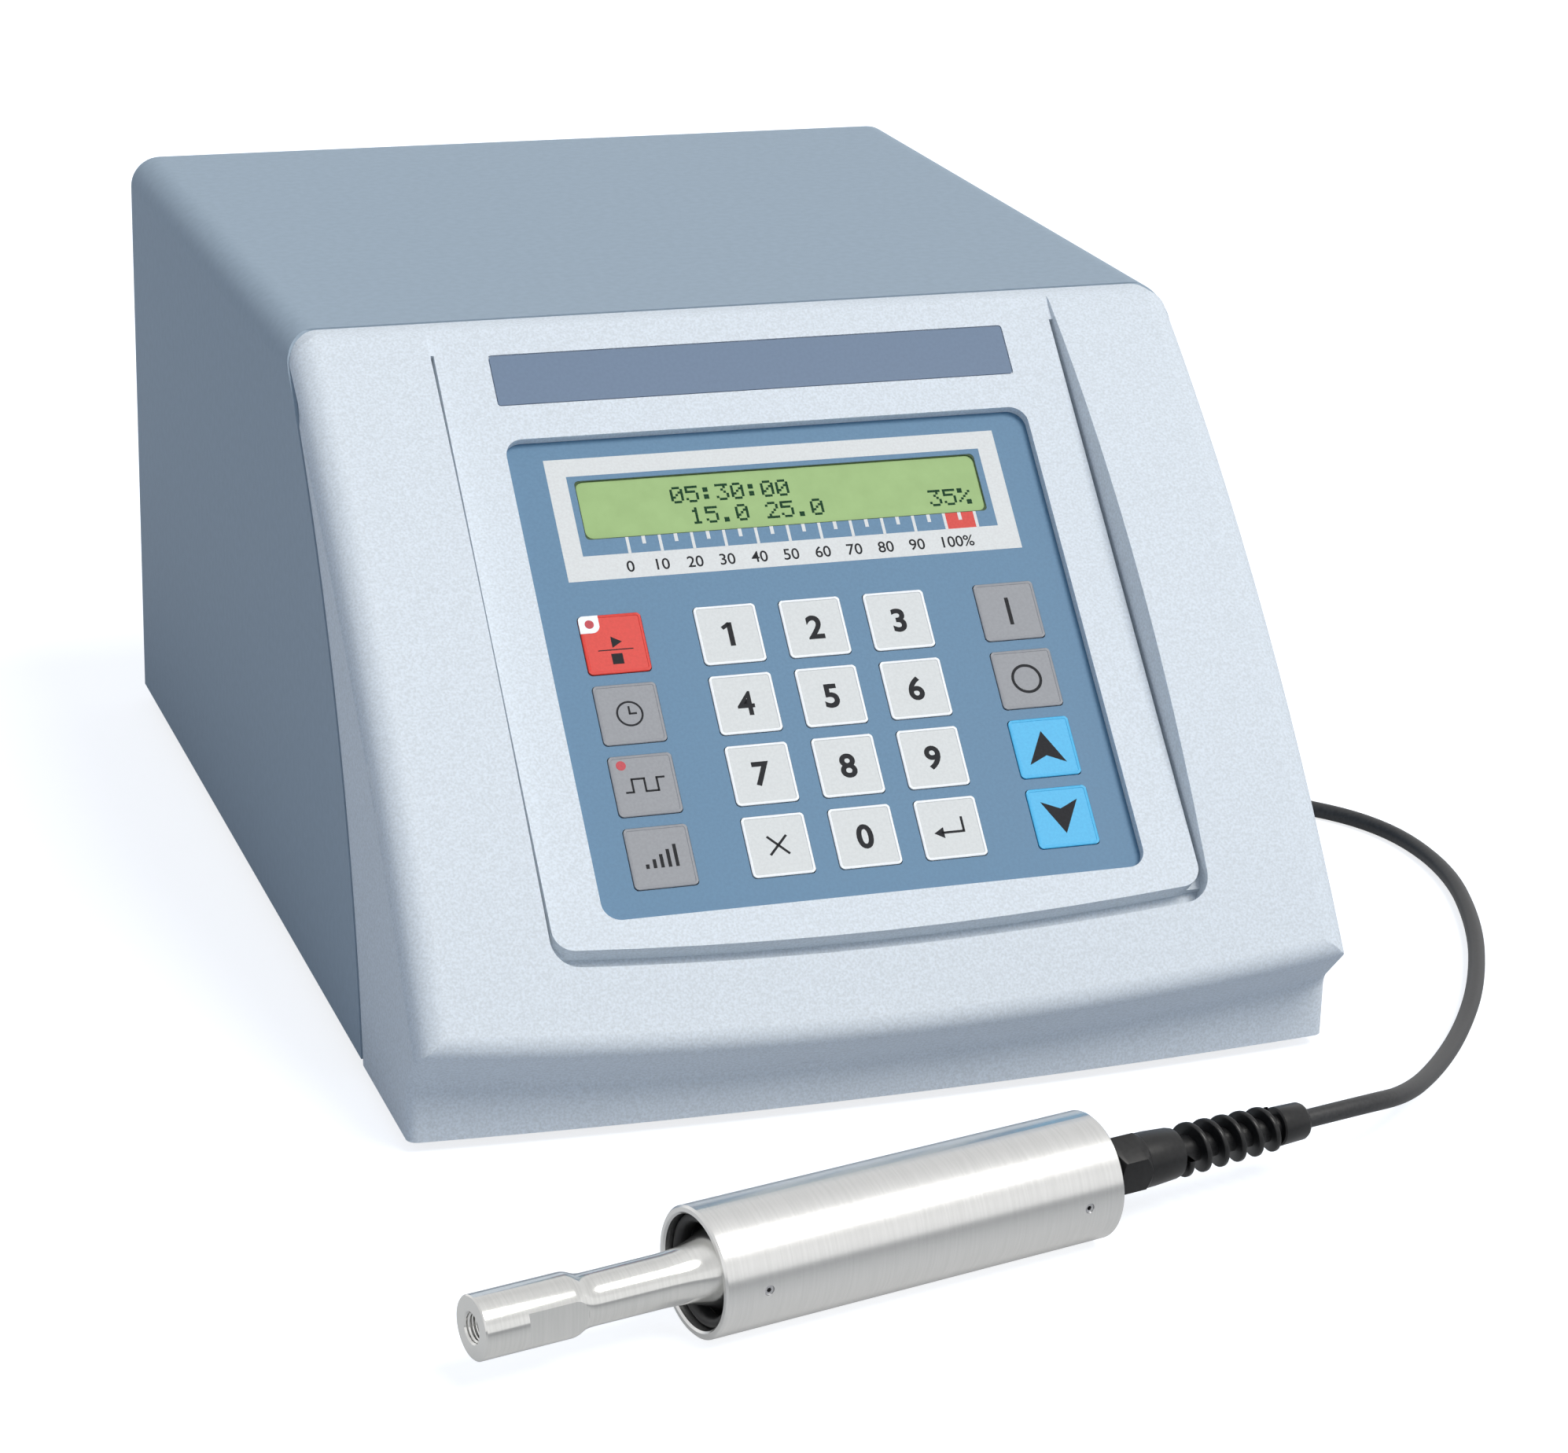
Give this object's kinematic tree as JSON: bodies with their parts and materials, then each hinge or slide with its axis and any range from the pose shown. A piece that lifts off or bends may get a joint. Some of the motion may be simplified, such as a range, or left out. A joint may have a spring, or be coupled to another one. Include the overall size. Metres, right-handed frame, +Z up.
{
  "type": "probe sonicator",
  "caption": "Bench ultrasonic processor: generator case with sloped keypad and display, and a cylindrical hand-held converter with a stepped threaded probe end on a coiled lead.",
  "frame": {"origin": "on the bench surface, midway across the case and midway along its depth", "axes": "+X to the case's right as seen from its front, +Y towards its back, +Z up"},
  "size_m": [0.4362, 0.6765, 0.216],
  "materials": {
    "bezel_paint": "moulded plastic in speckled silver-grey paint",
    "black_aluminium": "black anodised",
    "black_plastic": "moulded",
    "board_green": "circuit board",
    "brass_hex": "turned hexagon",
    "cable_grey": "flexible jacket",
    "cap_black": "moulded",
    "case_paint": "semi-gloss blue-grey enamel",
    "case_paint_dark": "semi-gloss blue-grey enamel",
    "ceramic_cream": "sintered ceramic rings with thin metal contacts",
    "core_steel": "laminated core with taped windings",
    "driver_titanium": "turned and polished alloy",
    "foot_rubber": "moulded",
    "gland_black": "moulded",
    "housing_aluminium": "satin turned",
    "key_cyan": "printed film key",
    "key_red": "printed film key",
    "key_white": "printed film key",
    "lcd_green": "reflective liquid crystal display",
    "o_ring_rubber": "moulded",
    "overlay_film": "printed polyester film",
    "plated_nickel": "nickel plated",
    "screw_steel": "plain steel",
    "sleeve_blue": "sleeved can",
    "strip_film": "printed film",
    "winding_copper": "enamelled copper winding on a ferrite ring",
    "wire_chrome": "bright plated wire",
    "zinc_steel": "zinc plated sheet"
  },
  "bodies": {
    "generator": {"base_chassis": "zinc_steel", "rear_panel": "case_paint_dark", "case_cover": "case_paint", "front_bezel": "bezel_paint", "name_strip": "strip_film", "membrane_overlay": "overlay_film", "spacer_layer": "board_green", "switch_board": "board_green", "lcd_module": "black_plastic", "lcd_glass": "lcd_green", "feet": "foot_rubber", "power_transformer": "core_steel", "main_board": "board_green", "board_standoffs": "brass_hex", "heat_sink": "black_aluminium", "tuning_coil": "winding_copper", "capacitors": "sleeve_blue", "fan_housing": "black_plastic", "fan_guard": "wire_chrome", "mains_inlet": "black_plastic", "converter_socket": "plated_nickel", "remote_jack": "plated_nickel", "rear_screws": "screw_steel", "converter_housing": "housing_aluminium", "end_cap": "cap_black", "front_driver": "driver_titanium", "piezo_rings": "ceramic_cream", "back_mass": "screw_steel", "stack_bolt": "screw_steel", "o_rings": "o_ring_rubber", "set_screws": "screw_steel", "cable_gland": "gland_black", "strain_relief": "gland_black", "converter_cable": "cable_grey", "cable_coil": "cable_grey", "cable_tail": "cable_grey", "cable_plug": "plated_nickel"},
    "rotor": {"fan_rotor": "black_plastic"},
    "rocker": {"power_rocker": "black_plastic"},
    "drawer": {"fuse_drawer": "black_plastic"},
    "button_start": {"key_start": "key_red"},
    "button_timer": {"key_timer": "key_white"},
    "button_pulse": {"key_pulse": "key_white"},
    "button_amplitude": {"key_amplitude": "key_white"},
    "button_1": {"key_1": "key_white"},
    "button_4": {"key_4": "key_white"},
    "button_7": {"key_7": "key_white"},
    "button_clear": {"key_clear": "key_white"},
    "button_2": {"key_2": "key_white"},
    "button_5": {"key_5": "key_white"},
    "button_8": {"key_8": "key_white"},
    "button_0": {"key_0": "key_white"},
    "button_3": {"key_3": "key_white"},
    "button_6": {"key_6": "key_white"},
    "button_9": {"key_9": "key_white"},
    "button_enter": {"key_enter": "key_white"},
    "button_on": {"key_on": "key_white"},
    "button_off": {"key_off": "key_white"},
    "button_up": {"key_up": "key_cyan"},
    "button_down": {"key_down": "key_cyan"}
  },
  "joints": [
    {"name": "fan_spin", "type": "hinge", "parent": "generator", "child": "rotor", "pos_m": [-0.082, 0.195, 0.136], "axis": [0, 1, 0], "continuous": true},
    {"name": "rocker_tilt", "type": "hinge", "parent": "generator", "child": "rocker", "pos_m": [0.098, 0.2055, 0.111], "axis": [1, 0, 0], "range_deg": [-14, 0]},
    {"name": "drawer_slide", "type": "slide", "parent": "generator", "child": "drawer", "axis": [0, 1, 0], "range_m": [0, 0.022]},
    {"name": "press_start", "type": "slide", "parent": "generator", "child": "button_start", "axis": [0, 0.7046, -0.7096], "range_m": [0, 0.00045], "stiffness_N_per_m": 900, "springref_m": -0.0003},
    {"name": "press_timer", "type": "slide", "parent": "generator", "child": "button_timer", "axis": [0, 0.7046, -0.7096], "range_m": [0, 0.00045], "stiffness_N_per_m": 900, "springref_m": -0.0003},
    {"name": "press_pulse", "type": "slide", "parent": "generator", "child": "button_pulse", "axis": [0, 0.7046, -0.7096], "range_m": [0, 0.00045], "stiffness_N_per_m": 900, "springref_m": -0.0003},
    {"name": "press_amplitude", "type": "slide", "parent": "generator", "child": "button_amplitude", "axis": [0, 0.7046, -0.7096], "range_m": [0, 0.00045], "stiffness_N_per_m": 900, "springref_m": -0.0003},
    {"name": "press_1", "type": "slide", "parent": "generator", "child": "button_1", "axis": [0, 0.7046, -0.7096], "range_m": [0, 0.00045], "stiffness_N_per_m": 900, "springref_m": -0.0003},
    {"name": "press_4", "type": "slide", "parent": "generator", "child": "button_4", "axis": [0, 0.7046, -0.7096], "range_m": [0, 0.00045], "stiffness_N_per_m": 900, "springref_m": -0.0003},
    {"name": "press_7", "type": "slide", "parent": "generator", "child": "button_7", "axis": [0, 0.7046, -0.7096], "range_m": [0, 0.00045], "stiffness_N_per_m": 900, "springref_m": -0.0003},
    {"name": "press_clear", "type": "slide", "parent": "generator", "child": "button_clear", "axis": [0, 0.7046, -0.7096], "range_m": [0, 0.00045], "stiffness_N_per_m": 900, "springref_m": -0.0003},
    {"name": "press_2", "type": "slide", "parent": "generator", "child": "button_2", "axis": [0, 0.7046, -0.7096], "range_m": [0, 0.00045], "stiffness_N_per_m": 900, "springref_m": -0.0003},
    {"name": "press_5", "type": "slide", "parent": "generator", "child": "button_5", "axis": [0, 0.7046, -0.7096], "range_m": [0, 0.00045], "stiffness_N_per_m": 900, "springref_m": -0.0003},
    {"name": "press_8", "type": "slide", "parent": "generator", "child": "button_8", "axis": [0, 0.7046, -0.7096], "range_m": [0, 0.00045], "stiffness_N_per_m": 900, "springref_m": -0.0003},
    {"name": "press_0", "type": "slide", "parent": "generator", "child": "button_0", "axis": [0, 0.7046, -0.7096], "range_m": [0, 0.00045], "stiffness_N_per_m": 900, "springref_m": -0.0003},
    {"name": "press_3", "type": "slide", "parent": "generator", "child": "button_3", "axis": [0, 0.7046, -0.7096], "range_m": [0, 0.00045], "stiffness_N_per_m": 900, "springref_m": -0.0003},
    {"name": "press_6", "type": "slide", "parent": "generator", "child": "button_6", "axis": [0, 0.7046, -0.7096], "range_m": [0, 0.00045], "stiffness_N_per_m": 900, "springref_m": -0.0003},
    {"name": "press_9", "type": "slide", "parent": "generator", "child": "button_9", "axis": [0, 0.7046, -0.7096], "range_m": [0, 0.00045], "stiffness_N_per_m": 900, "springref_m": -0.0003},
    {"name": "press_enter", "type": "slide", "parent": "generator", "child": "button_enter", "axis": [0, 0.7046, -0.7096], "range_m": [0, 0.00045], "stiffness_N_per_m": 900, "springref_m": -0.0003},
    {"name": "press_on", "type": "slide", "parent": "generator", "child": "button_on", "axis": [0, 0.7046, -0.7096], "range_m": [0, 0.00045], "stiffness_N_per_m": 900, "springref_m": -0.0003},
    {"name": "press_off", "type": "slide", "parent": "generator", "child": "button_off", "axis": [0, 0.7046, -0.7096], "range_m": [0, 0.00045], "stiffness_N_per_m": 900, "springref_m": -0.0003},
    {"name": "press_up", "type": "slide", "parent": "generator", "child": "button_up", "axis": [0, 0.7046, -0.7096], "range_m": [0, 0.00045], "stiffness_N_per_m": 900, "springref_m": -0.0003},
    {"name": "press_down", "type": "slide", "parent": "generator", "child": "button_down", "axis": [0, 0.7046, -0.7096], "range_m": [0, 0.00045], "stiffness_N_per_m": 900, "springref_m": -0.0003}
  ]
}
